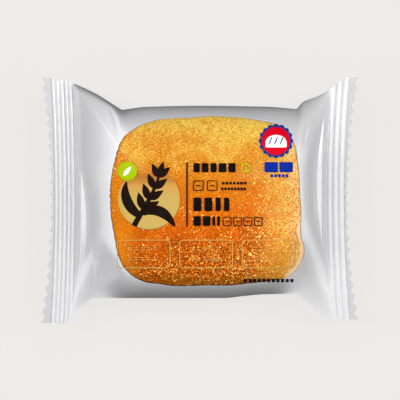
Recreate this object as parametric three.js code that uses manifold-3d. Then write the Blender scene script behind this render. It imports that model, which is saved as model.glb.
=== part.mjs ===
// A sealed pillow pack with a soft bread roll in it, lying on its back with its printed face up.
// Millimetres. X runs along the pack from one end seal to the other, Y across it and Z up.
// The origin is on the table, under the middle of the pack.
import * as THREE from "three";
import { mergeVertices } from "three/addons/utils/BufferGeometryUtils.js";
import Module from "manifold-3d";

// Size of the whole pack
const PACK_LENGTH = 148;
const PACK_WIDTH = 114.4;
const PACK_HEIGHT = 50;
const SEAM_HEIGHT = 22;
const HALF_LENGTH = PACK_LENGTH / 2;
const HALF_WIDTH = PACK_WIDTH / 2;

// End seals: two films crimped into ribs, then a plain margin with a pinked edge. The ribs bow towards
// the roll at the middle of the pack, and the cut edge bows more, so the margin is narrower there.
const SEAL_PLATE = 0.8;
const LEFT_END = { seal: -59.2, ribs: 5, pitch: 2, ribBow: 1.7, edgeBow: 2.9 };
const RIGHT_END = { seal: 61.2, ribs: 3, pitch: 2.85, ribBow: 2.7, edgeBow: 2.6 };
const BOW_START = 40;
const RIB_RISE = 0.36;
const RIB_EASE = 0.15;
const TEETH = 21;
const TOOTH_DEPTH = 1.5;

// Long edges seen from above, each in three runs that meet at the kinks beside the roll
const BACK_EDGE = [
  [[-74, 57.2], [-62, 55], [-50, 50.1], [-36.2, 41.8]],
  [[-36.2, 41.8], [-25, 43.2], [0, 43.7], [30, 43.3], [45, 42.2]],
  [[45, 42.2], [48.2, 45.5], [55.7, 48.3], [62, 52.1], [67, 55.8], [74, 57.2]],
];
const FRONT_EDGE = [
  [[-74, -57.2], [-60.3, -57], [-58.4, -52.6], [-52.9, -47.4], [-50.1, -45.5]],
  [[-50.1, -45.5], [11, -45.5], [20, -44.6], [31, -43.7], [45, -43.6]],
  [[45, -43.6], [50.1, -48.2], [55.7, -52.3], [64, -55.2], [74, -55.4]],
];

// Roundness of the filled part: along the pack, and across it at its middle and towards either end
const LENGTHWISE = { power: 2.8, root: 0.68 };
const ACROSS_MIDDLE = { front: { power: 7.5, root: 0.8 }, back: { power: 3.2, root: 0.5 } };
const ACROSS_LEFT = { front: { power: 2.4, root: 1.5 }, back: { power: 60, root: 0.9 } };
const ACROSS_RIGHT = { front: { power: 2.2, root: 2.2 }, back: { power: 4.5, root: 0.8 } };
const ROUNDED_FROM = 0.6;
const ROUNDED_BY = 0.95;

// Folds in the upper film, each from a line at start, which leans over Y, as far as its width towards
// the roll. Over that width the film climbs at the rates near and far times its usual pace, then
// catches up over the fade.
const FOLDS = [
  { start: -56.7, lean: 0, width: 2.9, middle: -11, reach: 27, near: 0.15, far: 0.13, fade: 7 },
  { start: -57.4, lean: -0.75, width: 8.5, middle: 52, reach: 28, near: 0.1, far: 0.3, fade: 9 },
  { start: 58.8, lean: 0, width: 2.6, middle: 9, reach: 31, near: 0.15, far: 0.13, fade: 5 },
  { start: 50.9, lean: 0.27, width: 1, middle: 32, reach: 8, near: 0.2, far: 0.2, fade: 3 },
];

// Back seal: a flat strip of film under the pack, which it rests on
const FIN_WIDTH = 12;
const FIN_THICKNESS = 0.6;
const FIN_ROOT = 1;
const FLAT_SINK = 0.9;

// Mesh density
const COLUMNS = 2 * TEETH;
const BODY_STEPS = 36;
const FIN_COLUMNS = 2;

const FILM = { color: 0xd6d7da, roughness: 0.35, metalness: 0.25 };

const FILLED_MIDDLE = (LEFT_END.seal + RIGHT_END.seal) / 2;
const FILLED_REACH = (RIGHT_END.seal - LEFT_END.seal) / 2;

const endOf = (station) => (station < 0 ? LEFT_END : RIGHT_END);
const mix = (a, b, t) => a + (b - a) * t;
const clamp = (value, low, high) => Math.min(Math.max(value, low), high);
const ease = (t) => t * t * (3 - 2 * t);
const smooth = (t) => ease(clamp(t, 0, 1));

// The roundness a share t of the way from a to b, its power by ratio.
const between = (a, b, t) => ({
  power: a.power * (b.power / a.power) ** t,
  root: mix(a.root, b.root, t),
});

// Height of a smooth curve through a run's points at x: cubic pieces whose slope at each point is the
// mean of the slopes beside it, and which keep flat where the run turns back.
function alongRun(run, x) {
  const slope = (i) => (run[i + 1][1] - run[i][1]) / (run[i + 1][0] - run[i][0]);
  const tangent = (i) => {
    if (i === 0) return slope(0);
    if (i === run.length - 1) return slope(i - 1);
    const before = slope(i - 1);
    const after = slope(i);
    return before * after <= 0 ? 0 : (2 * before * after) / (before + after);
  };
  let i = 0;
  while (i < run.length - 2 && x > run[i + 1][0]) i += 1;
  const width = run[i + 1][0] - run[i][0];
  const t = clamp((x - run[i][0]) / width, 0, 1);
  const bend = t * (1 - t);
  return (
    mix(run[i][1], run[i + 1][1], ease(t)) +
    width * bend * ((1 - t) * tangent(i) - t * tangent(i + 1))
  );
}

function alongEdge(edge, x) {
  const run = edge.find((part) => x <= part.at(-1)[0]) ?? edge.at(-1);
  return alongRun(run, x);
}

// How full the pack is at a station: 0 at the seals, 1 in the middle.
function fullness(station) {
  const along = Math.min(Math.abs(station - FILLED_MIDDLE) / FILLED_REACH, 1);
  return (1 - along ** LENGTHWISE.power) ** LENGTHWISE.root;
}

// Rise of the film above the seam at a place across the pack, -1 to 1: a form of its own towards each
// corner, which rounds out to a soft box round the roll.
function crossSection(across, station) {
  const rounded = smooth((fullness(station) - ROUNDED_FROM) / (ROUNDED_BY - ROUNDED_FROM));
  const right = smooth(station / 40 + 0.5);
  const back = smooth(across / 1.6 + 0.5);
  const sideForm = (side) =>
    between(between(ACROSS_LEFT[side], ACROSS_RIGHT[side], right), ACROSS_MIDDLE[side], rounded);
  const form = between(sideForm("front"), sideForm("back"), back);
  return (1 - Math.min(Math.abs(across), 1) ** form.power) ** form.root;
}

// Shift of a station towards the roll, which bows the ribs and the cut edge in plan.
function bow(station, y) {
  const end = endOf(station);
  const away = Math.abs(station);
  const seal = Math.abs(end.seal);
  const ribbed = end.ribs * end.pitch;
  const flank = smooth((away - BOW_START) / (seal - BOW_START));
  const margin = clamp((away - seal - ribbed) / (HALF_LENGTH - seal - ribbed), 0, 1);
  const depth = end.ribBow * flank + end.edgeBow * margin;
  return -Math.sign(station) * depth * (1 - (y / HALF_WIDTH) ** 2);
}

// Up and down of the crimp, the same in both films: round ribs with sharp grooves between them.
function ribs(station) {
  const end = endOf(station);
  const count = (Math.abs(station) - Math.abs(end.seal)) / end.pitch;
  const edge = smooth(count / RIB_EASE) * smooth((end.ribs + RIB_EASE - count) / RIB_EASE);
  return edge * RIB_RISE * (2 * Math.abs(Math.sin(Math.PI * count)) ** 0.9 - 1);
}

// The station whose height the upper film has at a place, moved back or on by the folds.
function slacken(station, y) {
  let shifted = station;
  for (const fold of FOLDS) {
    const inward = -Math.sign(fold.start);
    const inside = (station - fold.start - fold.lean * (y - fold.middle)) * inward;
    const width = fold.width * Math.max(1 - ((y - fold.middle) / fold.reach) ** 2, 0) ** 1.4;
    const share = clamp(inside / Math.max(width, 0.01), 0, 1);
    const beyond = Math.max(inside - width, 0);
    const lag = width * share * (1 - fold.near + ((fold.near - fold.far) * share) / 2);
    shifted -= inward * lag * Math.exp(-((beyond / fold.fade) ** 1.5));
  }
  return shifted;
}

function filmHeight(station, across, side) {
  const rise = fullness(station) * crossSection(across, station);
  const plate = SEAL_PLATE / 2;
  const seam = SEAM_HEIGHT + ribs(station);
  if (side > 0) return seam + plate + rise * (PACK_HEIGHT - SEAM_HEIGHT - plate);
  const sunk = seam - plate - rise * (SEAM_HEIGHT + FLAT_SINK);
  return Math.max(sunk, FIN_THICKNESS);
}

// The stations of the loft: shoulders and hollows of the ribs, and even steps of angle over the roll.
function stationList() {
  const list = [];
  for (let k = 0; k <= BODY_STEPS; k += 1) {
    list.push(FILLED_MIDDLE - FILLED_REACH * Math.cos((Math.PI * k) / BODY_STEPS));
  }
  for (const end of [LEFT_END, RIGHT_END]) {
    const outward = Math.sign(end.seal);
    for (let k = 0; k < end.ribs; k += 1) {
      for (const share of [0.3, 0.7, 1]) {
        list.push(end.seal + outward * (k + share) * end.pitch);
      }
    }
    list.push(outward * HALF_LENGTH);
  }
  return list.sort((a, b) => a - b);
}

// One ring of the loft: the upper film from the front edge to the back edge, then the lower film back.
function ring(station) {
  const low = alongEdge(FRONT_EDGE, station);
  const high = alongEdge(BACK_EDGE, station);
  const rounding = smooth(fullness(station));
  const points = [];
  for (const side of [1, -1]) {
    for (let k = 0; k <= COLUMNS; k += 1) {
      const even = (2 * k) / COLUMNS - 1;
      const across = side * mix(even, Math.sin((even * Math.PI) / 2), rounding);
      const y = mix(low, high, (across + 1) / 2);
      const notch = Math.abs(station) === HALF_LENGTH && k % 2 ? TOOTH_DEPTH : 0;
      const x = station + bow(station, y) - Math.sign(station) * notch;
      const level = side > 0 ? slacken(station, y) : station;
      points.push([x, y, filmHeight(level, across, side)]);
    }
  }
  return points;
}

// A closed geometry from rings of equal length, each end closed by a strip between its two halves.
function loft(rings) {
  const size = rings[0].length;
  const half = size / 2;
  const index = [];
  const quad = (a, b, c, d) => index.push(a, b, c, a, c, d);
  for (let r = 0; r + 1 < rings.length; r += 1) {
    for (let k = 0; k < size; k += 1) {
      const next = (k + 1) % size;
      quad(r * size + k, (r + 1) * size + k, (r + 1) * size + next, r * size + next);
    }
  }
  const last = (rings.length - 1) * size;
  for (let k = 0; k + 1 < half; k += 1) {
    const under = size - 1 - k;
    quad(k, k + 1, under - 1, under);
    quad(last + k, last + under, last + under - 1, last + k + 1);
  }
  const geometry = new THREE.BufferGeometry();
  geometry.setAttribute("position", new THREE.Float32BufferAttribute(rings.flat(2), 3));
  geometry.setIndex(index);
  return geometry;
}

// The back seal: a ribbon that follows the lower film from one end seal to the other.
function finRing(station) {
  const points = [];
  for (const side of [1, -1]) {
    for (let k = 0; k <= FIN_COLUMNS; k += 1) {
      const y = side * FIN_WIDTH * (k / FIN_COLUMNS - 0.5);
      const film = filmHeight(station, 0, -1);
      points.push([station + bow(station, y), y, side > 0 ? film + FIN_ROOT : film - FIN_THICKNESS]);
    }
  }
  return points;
}

const wasm = await Module();
wasm.setup();

function toSolid(geometry) {
  const merged = mergeVertices(geometry);
  return new wasm.Manifold(
    new wasm.Mesh({
      numProp: 3,
      vertProperties: merged.attributes.position.array,
      triVerts: new Uint32Array(merged.index.array),
    }),
  );
}

function toGeometry(solid) {
  const mesh = solid.getMesh();
  const geometry = new THREE.BufferGeometry();
  geometry.setAttribute("position", new THREE.BufferAttribute(mesh.vertProperties, 3));
  geometry.setIndex(new THREE.BufferAttribute(mesh.triVerts, 1));
  geometry.computeVertexNormals();
  return geometry;
}

function breadRollPack() {
  const stations = stationList();
  const film = toSolid(loft(stations.map(ring)));
  const filled = stations.filter((x) => x > LEFT_END.seal && x < RIGHT_END.seal);
  const fin = toSolid(loft(filled.map(finRing)));
  const pack = new THREE.Mesh(toGeometry(film.add(fin)), new THREE.MeshStandardMaterial(FILM));
  pack.name = "bread_roll_pack";
  return pack;
}

const part = new THREE.Group();
part.add(breadRollPack());

export default part;
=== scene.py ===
import math
from collections import namedtuple

import bpy
import numpy as np
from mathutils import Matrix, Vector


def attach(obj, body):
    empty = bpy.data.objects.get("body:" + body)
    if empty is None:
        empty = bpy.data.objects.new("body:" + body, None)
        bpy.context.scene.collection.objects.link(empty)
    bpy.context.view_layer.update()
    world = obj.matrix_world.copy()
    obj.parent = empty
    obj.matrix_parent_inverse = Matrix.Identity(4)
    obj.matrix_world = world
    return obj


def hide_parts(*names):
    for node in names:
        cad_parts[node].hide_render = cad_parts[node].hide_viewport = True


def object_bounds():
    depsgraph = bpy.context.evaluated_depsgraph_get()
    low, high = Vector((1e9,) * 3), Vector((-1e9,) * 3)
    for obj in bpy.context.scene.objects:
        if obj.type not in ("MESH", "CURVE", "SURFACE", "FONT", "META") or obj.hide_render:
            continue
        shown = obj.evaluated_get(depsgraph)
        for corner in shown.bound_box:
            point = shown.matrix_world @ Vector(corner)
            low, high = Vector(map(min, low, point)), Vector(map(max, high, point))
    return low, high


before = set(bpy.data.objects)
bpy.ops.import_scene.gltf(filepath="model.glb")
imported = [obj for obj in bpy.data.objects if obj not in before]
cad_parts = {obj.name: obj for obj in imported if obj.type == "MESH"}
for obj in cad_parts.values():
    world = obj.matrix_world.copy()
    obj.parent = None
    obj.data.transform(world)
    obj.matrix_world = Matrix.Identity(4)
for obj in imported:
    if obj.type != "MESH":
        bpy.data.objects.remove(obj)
CAD_LOW, CAD_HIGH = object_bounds()

bl_info = {
    "name": "Packed bread roll",
    "version": (1, 0, 0),
    "blender": (4, 5, 0),
    "location": "3D View > Sidebar > Bread roll",
    "description": "Dresses the solid of a packed bread roll: film, roll, grains and print",
    "category": "Object",
}

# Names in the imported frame
NODE = "bread_roll_pack"
BODY = "root"

# Lengths are in millimetres unless a comment says otherwise. A mesh is scaled to metres as it is made.
MM = 0.001
HALF_LENGTH = (CAD_HIGH.x - CAD_LOW.x) / 2 / MM
HALF_WIDTH = (CAD_HIGH.y - CAD_LOW.y) / 2 / MM
HEIGHT = CAD_HIGH.z / MM
SEAM = 22.0

# End seals: ribs from the seal line outwards, then a plain margin up to the pinked edge
End = namedtuple("End", "side seal ribs pitch rib_bow edge_bow")
LEFT_END = End(side=-1, seal=59.2, ribs=5, pitch=2.0, rib_bow=1.7, edge_bow=2.9)
RIGHT_END = End(side=1, seal=61.2, ribs=3, pitch=2.85, rib_bow=2.7, edge_bow=2.6)
BOW_START = 40.0
PLATE = 0.3
RIB_RISE = 0.36
RIB_ROUNDNESS = 0.9
RIB_EASE = 0.15
MARGIN_EASE = 0.5
TEETH = 21
TOOTH_DEPTH = 1.5
TOOTH_EASE = 3.0

# Long edges seen from above, each in three runs that meet at the kinks beside the roll
BACK_EDGE = (
    ((-74, 57.2), (-62, 55), (-50, 50.1), (-36.2, 41.8)),
    ((-36.2, 41.8), (-25, 43.2), (0, 43.7), (30, 43.3), (45, 42.2)),
    ((45, 42.2), (48.2, 45.5), (55.7, 48.3), (62, 52.1), (67, 55.8), (74, 57.2)),
)
FRONT_EDGE = (
    ((-74, -57.2), (-60.3, -57), (-58.4, -52.6), (-52.9, -47.4), (-50.1, -45.5)),
    ((-50.1, -45.5), (11, -45.5), (20, -44.6), (31, -43.7), (45, -43.6)),
    ((45, -43.6), (50.1, -48.2), (55.7, -52.3), (64, -55.2), (74, -55.4)),
)

# Roundness of the filled part, as a power and a root
Round = namedtuple("Round", "power root")
LENGTHWISE = Round(2.8, 0.68)
ACROSS_MIDDLE = {"front": Round(7.5, 0.8), "back": Round(3.2, 0.5)}
ACROSS_LEFT = {"front": Round(2.4, 1.5), "back": Round(60.0, 0.9)}
ACROSS_RIGHT = {"front": Round(2.2, 2.2), "back": Round(4.5, 0.8)}
ROUNDED_FROM = 0.6
ROUNDED_BY = 0.95
# The corners' forms pass into each other over this share of the half width, and over this length
CORNERS_ACROSS = 1.6
CORNERS_ALONG = 40.0
FILLED_MIDDLE = (RIGHT_END.seal - LEFT_END.seal) / 2
FILLED_REACH = (RIGHT_END.seal + LEFT_END.seal) / 2

# Folds in the upper film, each from a line at start, which leans over Y, as far as its width towards the
# roll. The width is full at the middle along Y and tapers to nothing a reach away. Over it the film climbs
# at the rates near and far times its usual pace, and then it catches up over the length fade.
Fold = namedtuple("Fold", "start lean width middle reach near far fade")
FOLDS = (
    Fold(start=-56.7, lean=0, width=2.9, middle=-11, reach=27, near=0.15, far=0.13, fade=7.0),
    Fold(start=-57.4, lean=-0.75, width=8.5, middle=52, reach=28, near=0.1, far=0.3, fade=9.0),
    Fold(start=58.8, lean=0, width=2.6, middle=9, reach=31, near=0.15, far=0.13, fade=5.0),
    Fold(start=50.9, lean=0.27, width=1.0, middle=32, reach=8, near=0.2, far=0.2, fade=3.0),
)
FOLD_TAPER = 1.4
FOLD_DECAY = 1.5

# Back seal under the pack
FIN_WIDTH = 12.0
FIN_THICKNESS = 0.6
FIN_CRIMP = 0.08
FIN_PITCH = 1.6
FLAT_SINK = 0.9

# The roll's outline seen from above, round from its right side, with the small lobe low on that side
ROLL_MIDDLE = (2.8, -0.3)
ROLL_OUTLINE = (
    (46.5, 2.3), (45.5, 17.4), (43.6, 26.4), (39.9, 32.0), (34.3, 35.4), (26.9, 37.0), (9.8, 38.8),
    (-2.0, 38.4), (-11.0, 38.0), (-20.0, 37.2), (-28.8, 34.0), (-35.7, 28.8), (-39.9, 17.6),
    (-41.8, 0), (-41.0, -10.0), (-39.5, -18.5), (-38.0, -25.8), (-35.0, -31.8), (-32.0, -34.8),
    (-25.9, -38.0), (-17.6, -39.2), (2.8, -39.7), (19.6, -39.1), (31.7, -37.6), (40.6, -35.8),
    (44.6, -32.5), (47.0, -28.8), (48.5, -24.2), (48.4, -20.8), (47.1, -18.0), (46.9, -12.0),
    (47.0, -8.0),
)
# The roll reaches a little further than the clear window in the film, which shows it up to its outline
# and has this mean radius
ROLL_HIDDEN = 3.0
WINDOW_RADIUS = 43.0
ROLL_FLOOR = 1.4
ROLL_RIM = 23.0
ROLL_GAP = 0.08
ROLL_DOME = Round(34.0, 0.5)
ROLL_BASE = Round(3.2, 0.42)

# Soft dents in the crust: waves by depth, size and seed about a mean depth, and a least depth
DENTS = ((0.3, 24, 3), (0.13, 9, 5), (0.07, 3.4, 7))
DENT_MEAN = 0.35
DENT_LEAST = 0.14

# Grains are tried evenly over this box. All are kept low on the right, but for a plain rim there, and a
# sparse share of them far from it. They end a little below the film.
GRAIN_BOX = ((-43, -41), (49, 40))
GRAIN_TRIES = 60000
GRAIN_SPARSE = 0.12
GRAIN_BELOW_FILM = 0.04
PLAIN_RIM = 2.0

# Camera straight above, as far off as its lens needs to frame the photo's width at the seam
PHOTO_SIDE = 400
PHOTO_SCALE = 0.464
PHOTO_LENS = 300.0
SENSOR = 36.0
VIEW_WIDTH = PHOTO_SIDE * PHOTO_SCALE
VIEW_HEIGHT = VIEW_WIDTH * PHOTO_LENS / SENSOR

# Ink lies this far above the film, each layer above the last, in sheets with points this far apart
INK_LIFT = 0.05
INK_STEP = 0.04
INK_THICK = 0.03
INK_GRID = 0.8

# Print: round things by their middle and radius, and where the rule, the blocks and the frames start
TAN_DISC = ((-23.7, 0.7), 14.4)
GREEN_DOT = ((-33.7, 13.4), 4.5)
GREEN_RING = ((21.2, 14.9), 1.95)
BADGE_MIDDLE = (35.3, 27.4)
BADGE_RADIUS = 6.6
BADGE_RIM = 7.7
BADGE_WAVE = 0.35
BADGE_SCALLOPS = 16
RULE_X = -6.35
BLOCKS_X = -3.0
FRAMES_X = (-38.4, -9.4, 19.6)
FRAMES_Y = -31.5

# Studio, in metres and watts. Each lamp has a name, a place, a size and a power.
FLOOR_REACH = 4.0
FLOOR_GLOW = 0.93
WORLD_LIGHT = 0.1
LAMPS = (
    ("overhead", (0, 0.58, 1.27), (1.6, 1.0), 9),
    ("left_strip", (-0.72, 0.2, 1.07), (0.08, 1.2), 7.6),
    ("right_strip", (0.72, 0.2, 1.07), (0.08, 1.2), 7.6),
    ("left_panel", (-1.0, -0.45, 0.66), (1.2, 1.4), 8.7),
    ("right_panel", (1.1, -0.3, 0.6), (1.2, 1.4), 8),
)

# An edge sharper than this is shaded as an edge
SHARP_ANGLE = math.radians(55)


# Numbers and curves


def smooth(t):
    """Eases from 0 to 1: three squares less two cubes of t, held between 0 and 1."""
    t = np.clip(t, 0, 1)
    return t * t * (3 - 2 * t)


def mix(a, b, t):
    """The value a share t of the way from a to b."""
    return a + (b - a) * t


def unit(vectors):
    """Vectors over their own lengths."""
    return vectors / np.linalg.norm(vectors, axis=-1, keepdims=True)


def along_run(run, x):
    """Height at x of the cubic pieces through a run's points, their slopes the harmonic means beside them."""
    px, py = np.array(run, float).T
    slope = np.diff(py) / np.diff(px)
    product = slope[:-1] * slope[1:]
    total = np.where(product > 0, slope[:-1] + slope[1:], 1)
    inner = np.where(product > 0, 2 * product / total, 0)
    tangent = np.concatenate([slope[:1], inner, slope[-1:]])
    i = np.clip(np.searchsorted(px, x) - 1, 0, len(slope) - 1)
    width = px[i + 1] - px[i]
    t = np.clip((x - px[i]) / width, 0, 1)
    bend = width * t * (1 - t) * ((1 - t) * tangent[i] - t * tangent[i + 1])
    return mix(py[i], py[i + 1], smooth(t)) + bend


def along_edge(edge, x):
    """Place of a long edge at x, from whichever of its runs holds x."""
    place = along_run(edge[-1], x)
    for run in edge[-2::-1]:
        place = np.where(x <= run[-1][0], along_run(run, x), place)
    return place


def waves(x, y, size, seed, count=9):
    """An uneven field: the mean of sine waves about size long, in seeded directions, up to about 1."""
    draw = np.random.default_rng(seed)
    total = 0
    for _ in range(count):
        turn, start = draw.uniform(0, math.tau, 2)
        pace = math.tau / (size * draw.uniform(0.7, 1.4))
        total = total + np.sin(pace * (x * math.cos(turn) + y * math.sin(turn)) + start)
    return total / count * 1.8


# Form of the film


def fullness(station):
    """How full the pack is: 1 in the middle, down to 0 at the seals along a rounded power curve."""
    along = np.minimum(np.abs(station - FILLED_MIDDLE) / FILLED_REACH, 1)
    return (1 - along**LENGTHWISE.power) ** LENGTHWISE.root


def between(a, b, t):
    """The roundness a share t of the way from a to b, its power by ratio."""
    return Round(a.power * (b.power / a.power) ** t, mix(a.root, b.root, t))


def cross_section(across, station):
    """Rise of the film over the seam, 0 to 1: a form of its own towards each corner, which rounds out to a
    soft box over the roll."""
    rounded = smooth((fullness(station) - ROUNDED_FROM) / (ROUNDED_BY - ROUNDED_FROM))
    back = smooth(across / CORNERS_ACROSS + 0.5)
    right = smooth(station / CORNERS_ALONG + 0.5)
    forms = []
    for side in ("front", "back"):
        corner = between(ACROSS_LEFT[side], ACROSS_RIGHT[side], right)
        forms.append(between(corner, ACROSS_MIDDLE[side], rounded))
    form = between(*forms, back)
    return (1 - np.minimum(np.abs(across), 1) ** form.power) ** form.root


def bow(station, y):
    """Shift towards the roll: a parabola over y, eased in over the flank and deeper at the cut edge."""
    shift = 0
    for end in (LEFT_END, RIGHT_END):
        away = station * end.side
        ribbed = end.seal + end.ribs * end.pitch
        flank = smooth((away - BOW_START) / (end.seal - BOW_START))
        outer = np.clip((away - ribbed) / (HALF_LENGTH - ribbed), 0, 1)
        depth = end.rib_bow * flank + end.edge_bow * outer
        shift = shift - end.side * depth * (1 - (y / HALF_WIDTH) ** 2)
    return shift


def ribs(station):
    """Rise of the crimp: round ribs with sharp grooves, each rib a power of a half sine, eased in and out."""
    rise = 0
    for end in (LEFT_END, RIGHT_END):
        count = (station * end.side - end.seal) / end.pitch
        last = end.ribs + RIB_EASE
        edge = smooth(count / RIB_EASE) * smooth((last - count) / RIB_EASE)
        crimp = 2 * np.abs(np.sin(math.pi * count)) ** RIB_ROUNDNESS - 1
        rise = rise + np.where((count > 0) & (count < last), edge * crimp, 0)
    return RIB_RISE * rise


def margin(station):
    """How far a place is out in the plain margin past the ribs, 0 to 1, eased over the last groove."""
    share = 0
    for end in (LEFT_END, RIGHT_END):
        beyond = station * end.side - end.seal - end.ribs * end.pitch
        share = np.maximum(share, smooth(beyond / MARGIN_EASE + 0.5))
    return share


def slacken(station, y):
    """The station whose height the film has here: over a fold's width it moves on at the fold's own rates,
    and past it the lag dies away as the exponential of a power."""
    shifted = station
    for fold in FOLDS:
        inward = -math.copysign(1, fold.start)
        inside = (station - fold.start - fold.lean * (y - fold.middle)) * inward
        width = fold.width * np.maximum(1 - ((y - fold.middle) / fold.reach) ** 2, 0) ** FOLD_TAPER
        share = np.clip(inside / np.maximum(width, 0.01), 0, 1)
        beyond = np.maximum(inside - width, 0)
        lag = width * share * (1 - fold.near + (fold.near - fold.far) * share / 2)
        shifted = shifted - inward * lag * np.exp(-((beyond / fold.fade) ** FOLD_DECAY))
    return shifted


def film_height(station, across, side):
    """Height of the upper (side 1) or lower (side -1) film: the seam, its crimp and the rise over it."""
    rise = fullness(station) * cross_section(across, station)
    seam = SEAM + ribs(station)
    if side > 0:
        return seam + PLATE / 2 + rise * (HEIGHT - SEAM - PLATE / 2)
    return np.maximum(seam - PLATE / 2 - rise * (SEAM + FLAT_SINK), FIN_THICKNESS)


def film_top(x, y):
    """Height of the upper film over a place, found by undoing the bow in a few steps."""
    station = x
    for _ in range(4):
        station = x - bow(station, y)
    low, high = along_edge(FRONT_EDGE, station), along_edge(BACK_EDGE, station)
    across = np.clip((2 * y - low - high) / (high - low), -1, 1)
    return film_height(slacken(station, y), across, 1)


# Form of the roll


def roll_radius(angle):
    """Distance from the roll's middle to its outline, along a run through the outline in polar form."""
    dx, dy = (np.array(ROLL_OUTLINE) - ROLL_MIDDLE).T
    turn = np.unwrap(np.arctan2(dy, dx))
    turn = np.concatenate([turn - math.tau, turn, turn + math.tau])
    length = np.tile(np.hypot(dx, dy), 3)
    return along_run(np.stack([turn, length], -1), np.mod(angle, math.tau))


def roll_polar(x, y, spare=0.0):
    """Angle about the roll's middle, and distance as a share of the radius there, with a spare width."""
    dx, dy = x - ROLL_MIDDLE[0], y - ROLL_MIDDLE[1]
    angle = np.arctan2(dy, dx)
    return angle, np.hypot(dx, dy) / (roll_radius(angle) + spare)


def roll_top(x, y):
    """Height of the crust: a dome of the film's own form, a gap below it that widens inwards from the rim,
    with soft dents of sine waves."""
    _, share = roll_polar(x, y, ROLL_HIDDEN)
    dome = np.maximum(1 - share**ROLL_DOME.power, 0) ** ROLL_DOME.root
    dents = sum(depth * waves(x, y, size, seed) for depth, size, seed in DENTS)
    dents = (DENT_MEAN + dents) * smooth((0.97 - share) / 0.4)
    least = DENT_LEAST * smooth((0.92 - share) / 0.06)
    return ROLL_RIM + (film_top(x, y) - ROLL_GAP - ROLL_RIM - np.maximum(dents, least)) * dome


def window_depth(x, y):
    """Distance inside the window's edge as the camera sees it: the roll's outline, made slightly ragged by
    waves along it, most of all on the left."""
    spread = 1 + (film_top(x, y) - SEAM) / VIEW_HEIGHT
    angle, share = roll_polar(x * spread, y * spread)
    radius = roll_radius(angle)
    around = angle * WINDOW_RADIUS
    left = smooth((-np.cos(angle) - 0.8) / 0.15) * smooth(np.sin(angle) / 0.2 + 0.8)
    coarse = 0.08 * waves(around, 0 * around, 3.0, 11)
    fine = (0.05 + 0.22 * left) * waves(around, 0 * around, 1.9, 13, 5)
    return (1 - share) * radius + coarse + fine


def on_film(x, y, lift):
    """The point above the film that the camera sees at (x, y) of the seam's plane, in a few steps."""
    near_x, near_y = x, y
    for _ in range(3):
        height = film_top(near_x, near_y) + lift
        share = 1 - (height - SEAM) / VIEW_HEIGHT
        near_x, near_y = x * share, y * share
    return np.stack([near_x, near_y, film_top(near_x, near_y) + lift], -1)


# Meshes


def add_object(name, data):
    """Puts a mesh, a lamp or a camera in the scene."""
    added = bpy.data.objects.new(name, data)
    bpy.context.scene.collection.objects.link(added)
    return added


def add_mesh(name, points, faces, materials, face_materials=None):
    """One piece from points in millimetres and lists of point numbers, shaded smooth, riding on the pack."""
    mesh = bpy.data.meshes.new(name)
    mesh.from_pydata((np.asarray(points) * MM).tolist(), [], faces)
    for material in materials:
        mesh.materials.append(material)
    if face_materials is not None:
        mesh.polygons.foreach_set("material_index", face_materials)
    mesh.polygons.foreach_set("use_smooth", np.ones(len(mesh.polygons), bool))
    mesh.set_sharp_from_angle(angle=SHARP_ANGLE)
    mesh.update()
    piece = add_object(name, mesh)
    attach(piece, BODY)
    return piece


def add_values(piece, name, values):
    """A number for every point of a piece, which its material reads by name."""
    layer = piece.data.attributes.new(name, "FLOAT", "POINT")
    layer.data.foreach_set("value", np.asarray(values, np.float32).ravel())


def grid_faces(rows, columns, start=0):
    """Quads between the neighbours of a grid of points numbered row by row, facing up if rows run along X."""
    corner = start + np.arange(rows - 1)[:, None] * columns + np.arange(columns - 1)
    quads = np.stack([corner, corner + columns, corner + columns + 1, corner + 1], -1)
    return quads.reshape(-1, 4)


def closed_sheets(upper, lower):
    """Two grids of points joined along their four edges: the points, the quads, and the faces of the two
    ends. The lower grid runs back from the far side, and each of its columns lies under as many of the
    upper one's as the counts allow."""
    top = np.arange(upper[..., 0].size).reshape(upper.shape[:2])
    base = top.size + np.arange(lower[..., 0].size).reshape(lower.shape[:2])
    quads = [grid_faces(*top.shape), grid_faces(*base.shape, top.size)]
    for a, b in ((top[:, -1], base[:, 0]), (base[:, -1], top[:, 0])):
        quads.append(np.stack([a[:-1], a[1:], b[1:], b[:-1]], -1))
    columns = base.shape[1] - 1
    step = (top.shape[1] - 1) // columns
    over = np.arange(columns)[:, None] * step + np.arange(step + 1)
    ends = []
    for row, order in ((0, 1), (-1, -1)):
        beneath = base[row, ::-1]
        end = np.concatenate([top[row][over], beneath[1:, None], beneath[:-1, None]], 1)
        ends.append(end[:, ::order])
    points = np.concatenate([upper.reshape(-1, 3), lower.reshape(-1, 3)])
    return points, np.concatenate(quads), np.concatenate(ends)


# Shader nodes


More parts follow.
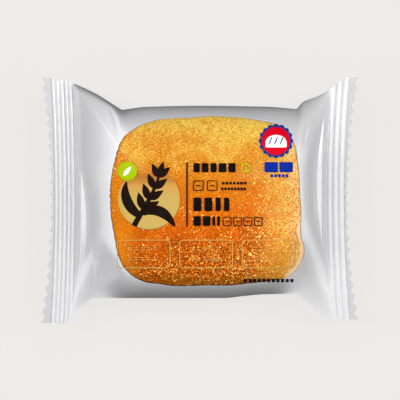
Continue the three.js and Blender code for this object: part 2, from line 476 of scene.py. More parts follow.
class Shader:
    """The node tree of one material, with short ways to add and join nodes. The materials call it s."""

    def __init__(self, name):
        self.material = bpy.data.materials.new(name)
        self.material.use_nodes = True
        self.tree = self.material.node_tree
        self.tree.nodes.clear()
        self.output = self.add("ShaderNodeOutputMaterial")

    def add(self, kind, inputs=(), **settings):
        """A node with its settings, each input a value or another node's output."""
        node = self.tree.nodes.new(kind)
        for key, value in settings.items():
            setattr(node, key, value)
        for key, value in dict(inputs).items():
            if isinstance(value, bpy.types.NodeSocket):
                self.tree.links.new(value, node.inputs[key])
            else:
                node.inputs[key].default_value = value
        return node

    def place(self):
        """Object coordinates, in metres."""
        return self.add("ShaderNodeTexCoord").outputs["Object"]

    def value(self, name):
        """A number stored on the piece's points."""
        return self.add("ShaderNodeAttribute", attribute_name=name).outputs["Fac"]

    def noise(self, size, detail=2.0, place=None, rough=0.5):
        """Noise whose features are about size millimetres across, from 0 to 1."""
        inputs = {"Vector": place or self.place(), "Scale": 1 / (size * MM)}
        inputs |= {"Detail": detail, "Roughness": rough}
        return self.add("ShaderNodeTexNoise", inputs).outputs["Fac"]

    def ramp(self, value, low, high, to_low=0.0, to_high=1.0, how="SMOOTHSTEP"):
        """Takes a value from one range to another, held at the ends, by an easing or a straight line."""
        inputs = {"Value": value, "From Min": low, "From Max": high, "To Min": to_low, "To Max": to_high}
        return self.add("ShaderNodeMapRange", inputs, interpolation_type=how).outputs["Result"]

    def maths(self, operation, a, b=0.0):
        """A sum, difference or product of two numbers."""
        return self.add("ShaderNodeMath", {0: a, 1: b}, operation=operation).outputs[0]

    def blend(self, share, a, b):
        """A colour that goes from a to b as share goes from 0 to 1."""
        return self.add("ShaderNodeMix", {0: share, 6: a, 7: b}, data_type="RGBA").outputs[2]

    def bump(self, height, depth, strength, normal=None):
        """Relief of a depth in millimetres from a height of 0 to 1, over any relief that it adds to."""
        inputs = {"Height": height, "Distance": depth * MM, "Strength": strength}
        if normal is not None:
            inputs["Normal"] = normal
        return self.add("ShaderNodeBump", inputs).outputs["Normal"]

    def surface(self, colour, rough, specular, inputs=()):
        """A principled surface of a colour, a roughness and a specular level, with any other inputs."""
        inputs = {"Base Color": colour, "Roughness": rough, "Specular IOR Level": specular, **dict(inputs)}
        return self.add("ShaderNodeBsdfPrincipled", inputs).outputs[0]

    def clear(self):
        """A surface that lets all light through."""
        return self.add("ShaderNodeBsdfTransparent", {"Color": (1, 1, 1, 1)}).outputs[0]

    def mixed(self, share, a, b):
        """A surface that goes from a to b as share goes from 0 to 1."""
        return self.add("ShaderNodeMixShader", {0: share, 1: a, 2: b}).outputs[0]

    def finish(self, surface):
        """Joins the surface to the output and gives the material back."""
        self.tree.links.new(surface, self.output.inputs["Surface"])
        return self.material


def shown(*channels):
    """A colour as it looks in a picture, 0 to 255 a channel, as the linear light that shaders take."""
    share = np.array(channels) / 255
    linear = np.where(share <= 0.04045, share / 12.92, ((share + 0.055) / 1.055) ** 2.4)
    return (*linear.tolist(), 1.0)


def colour_of(values):
    """A property's colour as a shader takes it."""
    return (*values[:3], 1.0)


# Materials


def pearly_surface(s, sizes, edge_line=None):
    """Pearly silver-white film: satin, slightly uneven in shine, with a faint ripple, duller where its two
    films are welded flat in the margin, and with a pale line where edge_line is 1."""
    cloud = s.noise(30, 2)
    tint = s.blend(s.ramp(cloud, 0.35, 0.65), colour_of(sizes.film_colour), colour_of(sizes.film_shade))
    tint = s.blend(s.value("margin"), tint, colour_of(sizes.margin_colour))
    if edge_line is not None:
        tint = s.blend(edge_line, tint, shown(200, 204, 213))
    inputs = {
        "Metallic": 0.1,
        "Normal": s.bump(s.noise(7, 3), 0.04, 0.3),
        "Coat Weight": s.ramp(s.value("margin"), 0.0, 1.0, 0.6, 0.05),
        "Coat Roughness": 0.1,
    }
    return s.surface(tint, s.ramp(cloud, 0.3, 0.7, 0.33, 0.38), 0.5, inputs)


def pearly_film(sizes):
    """Pearly film all over."""
    s = Shader("pearly_film")
    return s.finish(pearly_surface(s, sizes))


def window_film(sizes):
    """Film over the roll: pearly with a pale line up to the window's edge, clear and glossy inside it."""
    s = Shader("window_film")
    depth = s.value("window")
    pearly = pearly_surface(s, sizes, s.ramp(depth, -0.8, -0.3))
    gloss = s.add("ShaderNodeBsdfGlossy", {"Color": (1, 1, 1, 1), "Roughness": 0.16}).outputs[0]
    shine = s.add("ShaderNodeFresnel", {"IOR": 1.09}).outputs[0]
    glassy = s.mixed(shine, s.clear(), gloss)
    return s.finish(s.mixed(s.ramp(depth, -0.2, 0.2), pearly, glassy))


def baked_tones(s, sizes, share, right, y):
    """Colour of the crust below its strokes: a run of tones from brown at the front, where share is 0, to
    pale yellow at the back, honey towards the right, a cream edge on the right that is partly the crust's
    paler side and partly a painted sheen of the film over it, and its own two tones along the left."""
    stops = (
        (0.0, (154, 98, 12)), (0.12, (110, 50, 0)), (0.24, (140, 55, 1)), (0.34, (176, 72, 3)),
        (0.47, colour_of(sizes.baked_colour)), (0.6, colour_of(sizes.crust_colour)),
        (0.76, (188, 119, 12)), (0.9, (205, 166, 62)), (1.0, (214, 182, 76)),
    )
    tones = s.add("ShaderNodeValToRGB", {0: share})
    for k, (spot, tone) in enumerate(stops):
        stop = tones.color_ramp.elements[k] if k < 2 else tones.color_ramp.elements.new(spot)
        stop.position = spot
        stop.color = shown(*tone) if len(tone) == 3 else tone
    honey = s.blend(s.ramp(y, -0.03, -0.004), shown(232, 170, 28), shown(205, 173, 84))
    tone = s.blend(s.ramp(right, 0.022, 0.044), tones.outputs[0], honey)
    # Cream edge along the right: partly the crust's paler side, partly a painted sheen of the film over it
    tone = s.blend(s.ramp(right, 0.038, 0.046, 0.0, 0.75), tone, shown(240, 206, 140))
    left = s.blend(s.ramp(share, 0.1, 0.42), shown(250, 168, 20), shown(192, 114, 8))
    return s.blend(s.ramp(right, -0.025, -0.038, 0.0, 0.85), tone, left)


def baked_strokes(s, tone, share, right):
    """The crust's colour with reddish patches, and covered in short slanting strokes: pale ones, and dark
    ones between them, both lighter towards the back."""
    tone = s.blend(s.ramp(s.noise(4.5, 3), 0.45, 0.75, 0.0, 0.4), tone, shown(176, 72, 6))
    slanted = s.add("ShaderNodeMapping", {0: s.place(), 2: (0, 0, 0.9), 3: (1.0, 2.2, 1.0)}).outputs[0]
    pale = s.blend(s.ramp(share, 0.15, 0.55), shown(200, 94, 2), shown(234, 140, 12))
    pale = s.blend(s.ramp(share, 0.55, 1.0), pale, shown(250, 214, 110))
    pale = s.blend(s.ramp(right, 0.018, 0.04), pale, shown(248, 204, 96))
    tone = s.blend(s.ramp(s.noise(1.1, 2, slanted, 0.7), 0.5, 0.64, 0.0, 0.8), tone, pale)
    dark = s.blend(share, shown(128, 48, 0), shown(180, 100, 6))
    return s.blend(s.ramp(s.noise(1.0, 2, slanted, 0.7), 0.48, 0.34, 0.0, 0.8), tone, dark)


def baked_crust(sizes):
    """Soft golden crust: tones from front to back and left to right, their borders broken up by clouds, with
    strokes over them, a plain cream rim low on the right, and fine relief."""
    s = Shader("baked_crust")
    place = s.add("ShaderNodeSeparateXYZ", {0: s.place()}).outputs
    cloud = s.maths("MULTIPLY", s.maths("SUBTRACT", s.noise(13, 3), 0.5), 0.034)
    share = s.ramp(s.maths("ADD", place["Y"], cloud), -0.042, 0.036, 0.0, 1.0, "LINEAR")
    right = s.maths("ADD", place["X"], s.maths("MULTIPLY", cloud, 0.35))
    tone = baked_tones(s, sizes, share, right, place["Y"])
    tone = baked_strokes(s, tone, share, right)
    rim = s.maths("MULTIPLY", s.ramp(s.value("rim"), 2.6, 1.4, 0.0, 0.85), s.ramp(right, 0.036, 0.043))
    rim = s.maths("MULTIPLY", rim, s.ramp(place["Y"], -0.004, -0.016))
    tone = s.blend(rim, tone, shown(246, 212, 170))
    relief = s.bump(s.noise(3.5, 3), 0.4, 0.4, s.bump(s.noise(0.8, 2), 0.2, 0.5))
    rough = s.ramp(s.noise(4, 2), 0.3, 0.7, 0.6, 0.8)
    return s.finish(s.surface(tone, rough, 0.03, {"Normal": relief}))


def baked_grain(sizes):
    """Pale grains baked onto the crust, from straw to white by each grain's own number."""
    s = Shader("crumb")
    tint = s.blend(s.value("tone"), shown(214, 112, 4), shown(255, 234, 136))
    return s.finish(s.surface(tint, s.ramp(s.noise(1, 1), 0.3, 0.7, 0.5, 0.7), 0.06))


def inked_surface(s, tint):
    """A printed surface, slightly uneven in shine."""
    return s.surface(tint, s.ramp(s.noise(3, 2), 0.3, 0.7, 0.55, 0.65), 0.05)


def ink(name, *channels):
    """Printing ink: one colour, worn a little lighter in small clouds."""
    s = Shader(name)
    colour = shown(*channels)
    lighter = (*(min(1.1 * channel + 0.003, 1) for channel in colour[:3]), 1)
    return s.finish(inked_surface(s, s.blend(s.ramp(s.noise(1.6, 3), 0.45, 0.75), colour, lighter)))


def fading_ink(name, colour, upper, low, high):
    """Ink that turns from one colour to another and fades out towards the back of the pack, between two
    places along Y in millimetres."""
    s = Shader(name)
    place = s.add("ShaderNodeSeparateXYZ", {0: s.place()}).outputs["Y"]
    printed = inked_surface(s, s.blend(s.ramp(place, low * MM, high * MM), colour, upper))
    gone = s.ramp(place, mix(low, high, 0.45) * MM, high * MM)
    return s.finish(s.mixed(gone, printed, s.clear()))


# Settings


def colour_property(name, description, default):
    """A colour that the user may change, its default as it looks in a picture."""
    return bpy.props.FloatVectorProperty(
        name=name, description=description, default=shown(*default)[:3], subtype="COLOR", min=0, max=1
    )


class BreadPackSettings(bpy.types.PropertyGroup):
    """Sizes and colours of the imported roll."""

    film_colour: colour_property("Film", "Colour of the pearly film", (196, 196, 197))
    film_shade: colour_property("Film clouds", "Colour of the film's faint clouds", (192, 192, 194))
    margin_colour: colour_property("Film margin", "Colour of the welded margin", (176, 176, 178))
    crust_colour: colour_property("Crust", "Main colour of the crust", (190, 109, 14))
    baked_colour: colour_property("Deep bake", "Colour of the crust where it baked longest", (190, 90, 8))
    grain_count: bpy.props.IntProperty(
        name="Grains", description="Number of pale grains on the crust", default=8000, min=0, max=9000
    )
    grain_size: bpy.props.FloatProperty(
        name="Grain length", description="Mean length of a grain", default=0.00062, unit="LENGTH"
    )
    light: bpy.props.FloatProperty(
        name="Light", description="Strength of the studio light", default=1.0, min=0, max=5
    )


# Pieces


def film_stations():
    """Stations along the film, close together over the ribs and the folds beside them."""
    left, right = (end.seal + end.ribs * end.pitch + 0.6 for end in (LEFT_END, RIGHT_END))
    places = [-HALF_LENGTH, -left, -LEFT_END.seal, -45.2, -36, 38, 49, RIGHT_END.seal, right, HALF_LENGTH]
    steps = (4, 56, 48, 24, 46, 26, 42, 42, 4)
    parts = [np.linspace(a, b, n, endpoint=False) for a, b, n in zip(places, places[1:], steps)]
    return np.append(np.concatenate(parts), HALF_LENGTH)


def film_sheet(stations, columns, side):
    """One film as a grid: station along the rows, place across the outline's width along the columns, evenly
    spaced at the seals and by angle over the roll, height by film_height, teeth as a triangle wave."""
    even = np.linspace(-1, 1, columns + 1)[None, :]
    station = stations[:, None]
    rounding = smooth(fullness(station))
    across = side * mix(even, np.sin(even * math.pi / 2), rounding)
    low, high = along_edge(FRONT_EDGE, station), along_edge(BACK_EDGE, station)
    y = mix(low, high, (across + 1) / 2)
    tooth = TOOTH_DEPTH * np.abs((even * TEETH / 2 + TEETH / 2 + 0.5) % 1 - 0.5) * 2
    notch = tooth * np.clip((np.abs(station) - HALF_LENGTH) / TOOTH_EASE + 1, 0, 1)
    x = station + bow(station, y) - np.sign(station) * notch
    height_at = slacken(station, y) if side > 0 else station
    z = film_height(height_at, across, side)
    return np.stack([x, y, z], -1)


class BREADPACK_OT_film(bpy.types.Operator):
    """Makes the film tube with its two end seals, clear over the roll: an upper and a lower sheet"""

    bl_idname = "breadpack.film"
    bl_label = "Film"

    def execute(self, context):
        sizes = context.scene.bread_pack
        stations = film_stations()
        upper = film_sheet(stations, 12 * TEETH, 1)
        lower = film_sheet(stations, 4 * TEETH, -1)
        points, quads, ends = closed_sheets(upper, lower)
        outside = np.full(lower[..., 0].size, -9.0)
        window = np.concatenate([window_depth(upper[..., 0], upper[..., 1]).ravel(), outside])
        holds_window = np.concatenate([window[faces].max(1) > -0.5 for faces in (quads, ends)])
        materials = [pearly_film(sizes), window_film(sizes)]
        faces = quads.tolist() + ends.tolist()
        piece = add_mesh("film", points, faces, materials, holds_window.astype(np.int32))
        add_values(piece, "window", window)
        far_out = [np.repeat(margin(stations), sheet.shape[1]) for sheet in (upper, lower)]
        add_values(piece, "margin", np.concatenate(far_out))
        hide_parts(NODE)
        return {"FINISHED"}


class BREADPACK_OT_fin(bpy.types.Operator):
    """Makes the back seal, a flat strip under the pack that follows the lower film, thinner at its sides"""

    bl_idname = "breadpack.fin"
    bl_label = "Back seal"

    def execute(self, context):
        stations = np.linspace(0.3 - LEFT_END.seal, RIGHT_END.seal - 0.3, 160)[:, None]
        across = np.linspace(-0.5, 0.5, 13)[None, :] * FIN_WIDTH
        film = film_height(stations, 0, -1) + 0 * across
        flat = film < FIN_THICKNESS + 0.01
        crimp = FIN_CRIMP * np.maximum(np.cos(stations * math.tau / FIN_PITCH), 0) * flat
        x = stations + bow(stations, across)
        under = film - FIN_THICKNESS * (1 - 0.5 * np.abs(across / FIN_WIDTH)) + crimp
        sheets = [np.stack([x, 0 * x + side * across, z], -1) for side, z in ((1, film + 0.02), (-1, under))]
        points, quads, ends = closed_sheets(*sheets)
        faces = quads.tolist() + ends.tolist()
        add_mesh("back_seal", points, faces, [pearly_film(context.scene.bread_pack)])
        return {"FINISHED"}


class BREADPACK_OT_roll(bpy.types.Operator):
    """Makes the bread roll inside the film: rings of its outline under the dome, then round its base"""

    bl_idname = "breadpack.roll"
    bl_label = "Roll"

    def execute(self, context):
        turns, rings = 360, 90
        angle = np.linspace(0, math.tau, turns, endpoint=False)[None, :]
        ring = np.linspace(0, 1, 2 * rings + 1)[1:-1, None]
        share = np.sin(math.pi * ring)
        radius = roll_radius(angle) + ROLL_HIDDEN
        x = ROLL_MIDDLE[0] + share * radius * np.cos(angle)
        y = ROLL_MIDDLE[1] + share * radius * np.sin(angle)
        bulge = np.maximum(1 - share**ROLL_BASE.power, 0) ** ROLL_BASE.root
        beneath = ROLL_RIM - (ROLL_RIM - ROLL_FLOOR) * bulge + 0 * x
        z = np.where(ring <= 0.5, roll_top(x, y), beneath)
        poles = [[*ROLL_MIDDLE, float(roll_top(*np.array(ROLL_MIDDLE)))], [*ROLL_MIDDLE, ROLL_FLOOR]]
        points = np.concatenate([np.stack([x, y, z], -1).reshape(-1, 3), poles])
        rows = 2 * rings - 1
        number = np.arange(rows * turns).reshape(rows, turns)
        after = np.roll(number, -1, axis=1)
        quads = np.stack([number[:-1], number[1:], after[1:], after[:-1]], -1).reshape(-1, 4)
        faces = quads.tolist()
        for pole, a, b in ((0, number[0], after[0]), (1, after[-1], number[-1])):
            faces += np.stack([np.full(turns, number.size + pole), a, b], -1).tolist()
        piece = add_mesh("roll", points, faces, [baked_crust(context.scene.bread_pack)])
        add_values(piece, "rim", window_depth(points[:, 0], points[:, 1]))
        return {"FINISHED"}


def icosahedron():
    """Twelve corners on a unit ball, from three golden rectangles, and the twenty faces between them."""
    golden = (1 + math.sqrt(5)) / 2
    corners = [(-1, golden, 0), (1, golden, 0), (-1, -golden, 0), (1, -golden, 0)]
    corners += [(0, -1, golden), (0, 1, golden), (0, -1, -golden), (0, 1, -golden)]
    corners += [(golden, 0, -1), (golden, 0, 1), (-golden, 0, -1), (-golden, 0, 1)]
    faces = [(0, 11, 5), (0, 5, 1), (0, 1, 7), (0, 7, 10), (0, 10, 11), (1, 5, 9), (5, 11, 4)]
    faces += [(11, 10, 2), (10, 7, 6), (7, 1, 8), (3, 9, 4), (3, 4, 2), (3, 2, 6), (3, 6, 8)]
    faces += [(3, 8, 9), (4, 9, 5), (2, 4, 11), (6, 2, 10), (8, 6, 7), (9, 8, 1)]
    return unit(np.array(corners)), np.array(faces)


class BREADPACK_OT_grains(bpy.types.Operator):
    """Scatters pale grains over the crust, most of them low on its right side: small balls stretched along
    the crust, turned about one direction"""

    bl_idname = "breadpack.grains"
    bl_label = "Grains"

    def execute(self, context):
        sizes = context.scene.bread_pack
        draw = np.random.default_rng(21)
        tries = draw.uniform(*GRAIN_BOX, (GRAIN_TRIES, 2))
        _, share = roll_polar(*tries.T)
        low_right = smooth((0.6 * tries[:, 0] - tries[:, 1] + 12) / 60)
        keep = (share < 0.975) & (draw.uniform(size=len(tries)) < mix(GRAIN_SPARSE, 1, low_right))
        plain = (tries[:, 0] > 40) & (tries[:, 1] < -10)
        keep &= ~plain | (window_depth(*tries.T) > PLAIN_RIM)
        spots = tries[keep][: sizes.grain_count]
        x, y = spots.T
        count = len(spots)
        z = roll_top(x, y)
        step = 0.2
        slope_x, slope_y = (roll_top(x + step, y) - z) / step, (roll_top(x, y + step) - z) / step
        up = unit(np.stack([-slope_x, -slope_y, np.ones(count)], -1))
        turn = draw.normal(0.9, 0.7, count)
        along = np.stack([np.cos(turn), np.sin(turn), np.zeros(count)], -1)
        along = unit(along - up * np.sum(up * along, axis=1, keepdims=True))
        side = np.cross(up, along)
        length = sizes.grain_size / MM / 2 * draw.lognormal(0, 0.3, count)
        wide = length * draw.uniform(0.45, 0.8, count)
        corners, triangles = icosahedron()
        middle = np.stack([x, y, z], -1) + up * (0.1 * wide)[:, None]
        middle[:, 2] = np.minimum(middle[:, 2], film_top(x, y) - GRAIN_BELOW_FILM - 0.65 * wide)
        axes = np.stack([along * length[:, None], side * wide[:, None], up * wide[:, None] * 0.6], 1)
        points = middle[:, None] + corners @ axes
        faces = (np.arange(count)[:, None, None] * len(corners) + triangles).reshape(-1, 3)
        piece = add_mesh("crust_grains", points.reshape(-1, 3), faces.tolist(), [baked_grain(sizes)])
        white = draw.uniform(size=count) ** mix(10, 3.5, smooth((0.6 * x - y) / 54))
        add_values(piece, "tone", np.repeat(white, len(corners)))
        return {"FINISHED"}


def line(a, b):
    """Points along a straight line, an ink grid's step apart."""
    a, b = np.array(a, float), np.array(b, float)
    steps = max(math.ceil(np.linalg.norm(b - a) / INK_GRID), 2)
    return mix(a, b, np.linspace(0, 1, steps + 1)[:, None])


def arc(middle, radius, start=0.0, end=360.0):
    """Points along an arc of a circle, from one angle to another in degrees."""
    steps = max(int(abs(end - start) / 360 * math.tau * radius / INK_GRID), 24)
    turn = np.radians(np.linspace(start, end, steps + 1))
    return np.array(middle) + radius * np.stack([np.cos(turn), np.sin(turn)], -1)


def curve(*points):
    """Points along the cubic curve of four guide points, the sum of each with its power polynomial."""
    points = np.array(points, float)
    steps = max(int(np.linalg.norm(np.diff(points, axis=0), axis=1).sum() / INK_GRID * 1.6), 8)
    t = np.linspace(0, 1, steps + 1)[:, None]
    power = len(points) - 1
    return sum(math.comb(power, i) * (1 - t) ** (power - i) * t**i * p for i, p in enumerate(points))


class Ink:
    """Flat sheets of one ink, each between two lines of points, laid over the film as one piece."""

    def __init__(self):
        self.points, self.faces = [], []

    def sheet(self, a, b):
        """Fills the space between two lines of equally many points with a grid."""
        across = max(math.ceil(np.linalg.norm(b - a, axis=1).max() / INK_GRID), 1)
        t = np.linspace(0, 1, across + 1)[None, :, None]
        grid = a[:, None, :] * (1 - t) + b[:, None, :] * t
        edge, side = grid[1:, :-1] - grid[:-1, :-1], grid[:-1, 1:] - grid[:-1, :-1]
        turned = np.sum(edge[..., 0] * side[..., 1] - edge[..., 1] * side[..., 0])
        start = sum(len(points) for points in self.points)
        faces = grid_faces(len(a), across + 1, start)
        self.faces.append(faces if turned > 0 else faces[:, ::-1])
        self.points.append(grid.reshape(-1, 2))

    def block(self, x, y, width, height, corner=0.0):
        """A rectangle from its low left corner, its own corners cut round by quarter circles."""
        along = line((x, y), (x + width, y))[:, 0]
        if corner:
            turn = np.linspace(0, math.pi / 2, 5)
            inset, place = corner * (1 - np.sin(turn)), corner * (1 - np.cos(turn))
            inner = along[(along > x + corner) & (along < x + width - corner)]
            along = np.concatenate([x + place, inner, x + width - place[::-1]])
            cut = np.concatenate([inset, 0 * inner, inset[::-1]])
        else:
            cut = 0 * along
        self.sheet(np.stack([along, y + cut], -1), np.stack([along, y + height - cut], -1))

    def row(self, count, pitch, x, y, width, height):
        """A row of sharp-cornered blocks, a pitch apart along X."""
        for left in x + pitch * np.arange(count):
            self.block(left, y, width, height)

    def disc(self, middle, radius):
        """A disc, as the space between its lower and its upper half circle."""
        self.sheet(arc(middle, radius, 180, 360), arc(middle, radius, 180, 0))

    def ring(self, middle, radius, stroke):
        """A ring of a radius at the middle of its stroke."""
        self.sheet(arc(middle, radius - stroke / 2), arc(middle, radius + stroke / 2))

    def frame(self, x, y, width, height, corner, stroke):
        """The outline of a rectangle with round corners, along the middle of its stroke."""
        left, right, low, high = x + corner, x + width - corner, y + corner, y + height - corner
        corners = ((right, high), (left, high), (left, low), (right, low))
        sides = []
        for reach in (corner - stroke / 2, corner + stroke / 2):
            arcs = [arc(middle, reach, 90 * k, 90 * k + 90) for k, middle in enumerate(corners)]
            path = []
            for before, after in zip(arcs, arcs[1:] + arcs[:1]):
                path += [before, line(before[-1], after[0])[1:-1]]
            sides.append(np.concatenate([*path, arcs[0][:1]]))
        count = min(len(sides[0]), len(sides[1]))
        self.sheet(sides[0][:count], sides[1][:count])

    def stroke(self, path, start, middle, end):
        """A brush stroke along a path, its width easing from the start by the middle to the end."""
        t = np.linspace(0, 1, len(path))[:, None]
        width = start * (1 - t) ** 2 + 2 * t * (1 - t) * (2 * middle - (start + end) / 2) + end * t**2
        along = unit(np.gradient(path, axis=0))
        normal = np.stack([-along[:, 1], along[:, 0]], -1)
        self.sheet(path - normal * width / 2, path + normal * width / 2)

    def grain(self, foot, tip, width):
        """A grain of corn: two half sines from its foot to its tip, fullest nearer the foot."""
        foot, tip = np.array(foot, float), np.array(tip, float)
        steps = max(int(np.linalg.norm(tip - foot) / INK_GRID), 8)
        t = np.linspace(0, 1, steps + 1)[:, None]
        normal = unit(np.array([foot[1] - tip[1], tip[0] - foot[0]]))
        swell = width / 2 * np.sin(math.pi * t**0.8) * normal
        self.sheet(mix(foot, tip, t) - swell, mix(foot, tip, t) + swell)

    def lay(self, name, material, layer=0):
        """Welds the sheets' meeting points, lays them on the film and gives them their thickness."""
        points = np.concatenate(self.points)
        points, number = np.unique(points.round(5), axis=0, return_inverse=True)
        faces = number.ravel()[np.concatenate(self.faces)]
        repeated = faces == np.roll(faces, 1, axis=1)
        whole, pinched = ~repeated.any(1), repeated.sum(1) == 1
        corners = faces[pinched][~repeated[pinched]].reshape(-1, 3)
        faces = faces[whole].tolist() + corners.tolist()
        spots = on_film(points[:, 0], points[:, 1], INK_LIFT + INK_STEP * layer)
        piece = add_mesh(name, spots, faces, [material])
        thick = piece.modifiers.new("thick", "SOLIDIFY")
        thick.thickness = INK_THICK * MM
        thick.offset = -1


class BREADPACK_OT_emblem(bpy.types.Operator):
    """Prints the tan disc, an ear of corn on it, and a green dot with a leaf"""

    bl_idname = "breadpack.emblem"
    bl_label = "Emblem"

    def execute(self, context):
        disc = Ink()
        disc.disc(*TAN_DISC)
        disc.lay("tan_disc", fading_ink("tan_ink", shown(182, 153, 82), shown(194, 124, 44), -1.0, 14.0))
        ear = Ink()
        stem = curve((-30.6, -12.0), (-27.0, -5.0), (-21.5, 2.0), (-18.6, 12.6))
        ear.stroke(stem, 2.6, 2.0, 1.0)
        for k, share in enumerate(np.linspace(0.36, 0.94, 4)):
            foot = stem[int(share * (len(stem) - 1))]
            size = 1 - 0.05 * k
            for turn in (math.radians(106 + 3 * k), math.radians(28 + 5 * k)):
                tip = foot + 8.6 * size * np.array([math.cos(turn), math.sin(turn)])
                ear.grain(foot, tip, 3.7 * size)
        ear.grain(stem[-1] - (0.4, 1.6), stem[-1] + (1.6, 5.4), 2.8)
        ear.stroke(curve((-27.4, -7.6), (-33.6, -4.0), (-36.2, 3.0), (-34.0, 8.4)), 2.4, 4.6, 0.6)
        ear.stroke(curve((-26.6, -6.4), (-20.0, -2.6), (-15.5, -6.0), (-11.7, -12.2)), 2.0, 4.8, 0.8)
        ear.lay("corn_ear", ink("brown_black_ink", 22, 7, 2), 1)
        dot = Ink()
        dot.disc(*GREEN_DOT)
        dot.lay("green_dot", ink("green_ink", 152, 174, 0), 2)
        leaf = Ink()
        leaf.grain((-35.6, 11.2), (-31.9, 15.7), 2.0)
        leaf.lay("white_leaf", ink("white_ink", 250, 252, 240), 3)
        return {"FINISHED"}


class BREADPACK_OT_blocks(bpy.types.Operator):
    """Prints the upright rule, rows of plain blocks, thin frames and a small green ring"""

    bl_idname = "breadpack.blocks"
    bl_label = "Blocks and frames"

    def execute(self, context):
        dark = Ink()
        dark.block(RULE_X, -12.4, 0.65, 30)
        rows = (
            (12.9, 4.2, (2.9, 3.1, 2.8, 3.6, 3.3), 0.95),
            (-5.1, 6.2, (3.6, 3.6, 2.4, 2.5), 1.5),
            (-12.0, 4.5, (3.4, 3.4, 1.2, 1.2), 1.0),
        )
        for y, height, widths, gap in rows:
            x = BLOCKS_X
            for width in widths:
                dark.block(x, y, width, height, 0.5)
                x += width + gap
        dark.lay("word_blocks", ink("black_ink", 10, 3, 1))
        thin = Ink()
        for x in (BLOCKS_X, BLOCKS_X + 6.4):
            thin.frame(x, 4.4, 4.5, 4.5, 0.7, 0.45)
            thin.block(x + 1.2, 6.4, 2.1, 0.5)
        thin.row(7, 1.7, 10.2, 7.2, 1.2, 1.2)
        thin.row(8, 1.5, 9.8, 4.5, 1.1, 1.3)
        for x in (10.8, 15.6, 20.4, 25.2):
            thin.frame(x, -11.9, 3.7, 3.9, 0.6, 0.4)
            thin.block(x + 1.0, -10.2, 1.7, 0.45)
        thin.row(11, 2.15, 20.4, -38.2, 1.5, 1.6)
        thin.lay("small_blocks", ink("thin_black_ink", 34, 14, 4))
        frames = Ink()
        for x in FRAMES_X:
            frames.frame(x, FRAMES_Y, 24.5, 12.9, 1.9, 0.4)
            for y in (FRAMES_Y + 3.6, FRAMES_Y + 8.2):
                frames.row(5, 2.9, x + 5.0, y, 1.9, 0.35)
                frames.row(5, 2.9, x + 5.3, y + 1.0, 1.2, 0.35)
        frames.lay("tan_frames", ink("tan_line_ink", 202, 154, 76))
        ring = Ink()
        ring.ring(*GREEN_RING, 0.5)
        ring.lay("green_ring", ink("green_line_ink", 162, 200, 6))
        return {"FINISHED"}


class BREADPACK_OT_badge(bpy.types.Operator):
    """Prints a plain red badge with a scalloped blue rim and a white loaf, and blue blocks below it"""

    bl_idname = "breadpack.badge"
    bl_label = "Badge"

    def execute(self, context):
        turn = np.linspace(0, math.tau, 129)[:, None]
        around = np.concatenate([np.cos(turn), np.sin(turn)], 1)
        scallops = BADGE_RIM + BADGE_WAVE * np.cos(BADGE_SCALLOPS * turn)
        edge = Ink()
        edge.sheet(BADGE_MIDDLE + around * BADGE_RADIUS, BADGE_MIDDLE + around * scallops)
        edge.lay("badge_rim", ink("blue_ink", 8, 50, 128))
        field = Ink()
        field.disc(BADGE_MIDDLE, BADGE_RADIUS + 0.02)
        field.lay("badge_field", ink("red_ink", 198, 0, 28))
        loaf = Ink()
        top = curve((30.4, 26.2), (30.2, 31.6), (40.4, 31.6), (40.2, 26.2))
        base = 24.4 + 0.25 * np.linspace(-1, 1, len(top)) ** 4
        loaf.sheet(np.stack([top[:, 0], base], -1), top)
        loaf.lay("badge_loaf", ink("badge_white_ink", 250, 250, 250), 1)
        blue = Ink()
        for x in (32.9, 35.5, 38.1):
            blue.stroke(line((x - 0.9, 26.0), (x + 0.5, 29.2)), 0.5, 0.6, 0.5)
        for x in (30.0, 36.9):
            blue.block(x, 12.9, 6.2, 4.7, 0.6)
        blue.row(5, 1.75, 32.8, 10.6, 1.2, 1.3)
        blue.lay("blue_blocks", ink("blue_block_ink", 0, 36, 138), 2)
        return {"FINISHED"}


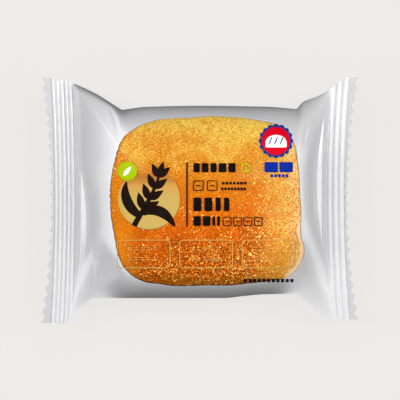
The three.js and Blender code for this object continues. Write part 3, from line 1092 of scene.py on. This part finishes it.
class BREADPACK_OT_stage(bpy.types.Operator):
    """Makes the floor, the studio light and the camera"""

    bl_idname = "breadpack.stage"
    bl_label = "Stage"

    def execute(self, context):
        scene = context.scene
        mesh = bpy.data.meshes.new("floor")
        corners = FLOOR_REACH * np.array([(-1, -1, 0), (1, -1, 0), (1, 1, 0), (-1, 1, 0)])
        mesh.from_pydata(corners.tolist(), [], [(0, 1, 2, 3)])
        s = Shader("pale_floor")
        lit = s.add("ShaderNodeBsdfDiffuse", {"Color": (0.06, 0.06, 0.059, 1)}).outputs[0]
        glow = s.add("ShaderNodeEmission", {"Color": shown(233, 232, 228), "Strength": FLOOR_GLOW}).outputs[0]
        mesh.materials.append(s.finish(s.add("ShaderNodeAddShader", {0: lit, 1: glow}).outputs[0]))
        floor = add_object("floor", mesh)
        floor.visible_diffuse = False
        floor.visible_glossy = False

        strength = scene.bread_pack.light
        world = bpy.data.worlds.new("studio")
        world.use_nodes = True
        light = world.node_tree.nodes["Background"].inputs
        light["Color"].default_value = (1, 1, 1, 1)
        light["Strength"].default_value = WORLD_LIGHT * strength
        scene.world = world

        for name, place, size, power in LAMPS:
            lamp = bpy.data.lights.new(name, "AREA")
            lamp.shape = "RECTANGLE"
            lamp.size, lamp.size_y = size
            lamp.energy = power * strength
            lamp_object = add_object(name, lamp)
            lamp_object.location = place
            lamp_object.rotation_euler = (-lamp_object.location).to_track_quat("-Z", "Y").to_euler()

        lens = bpy.data.cameras.new("camera")
        lens.lens = PHOTO_LENS
        lens.sensor_width = SENSOR
        lens.clip_end = 20
        scene.camera = add_object("camera", lens)
        scene.camera.location = (0, 0, (SEAM + VIEW_HEIGHT) * MM)
        scene.view_settings.view_transform = "Standard"
        return {"FINISHED"}


class BREADPACK_PT_panel(bpy.types.Panel):
    """Lists the pack's pieces in the sidebar"""

    bl_label = "Bread roll"
    bl_idname = "BREADPACK_PT_panel"
    bl_space_type = "VIEW_3D"
    bl_region_type = "UI"
    bl_category = "Bread roll"

    def draw(self, context):
        for name in BreadPackSettings.__annotations__:
            self.layout.prop(context.scene.bread_pack, name)
        for operator in PIECES:
            self.layout.operator(operator.bl_idname)


PIECES = (
    BREADPACK_OT_film,
    BREADPACK_OT_fin,
    BREADPACK_OT_roll,
    BREADPACK_OT_grains,
    BREADPACK_OT_emblem,
    BREADPACK_OT_blocks,
    BREADPACK_OT_badge,
    BREADPACK_OT_stage,
)
CLASSES = (BreadPackSettings, *PIECES, BREADPACK_PT_panel)


def register():
    for cls in CLASSES:
        bpy.utils.register_class(cls)
    bpy.types.Scene.bread_pack = bpy.props.PointerProperty(type=BreadPackSettings)


def unregister():
    del bpy.types.Scene.bread_pack
    for cls in reversed(CLASSES):
        bpy.utils.unregister_class(cls)


def main():
    """Registers the add-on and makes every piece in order."""
    register()
    for operator in PIECES:
        getattr(bpy.ops.breadpack, operator.bl_idname.split(".")[1])()


if __name__ == "__main__":
    main()
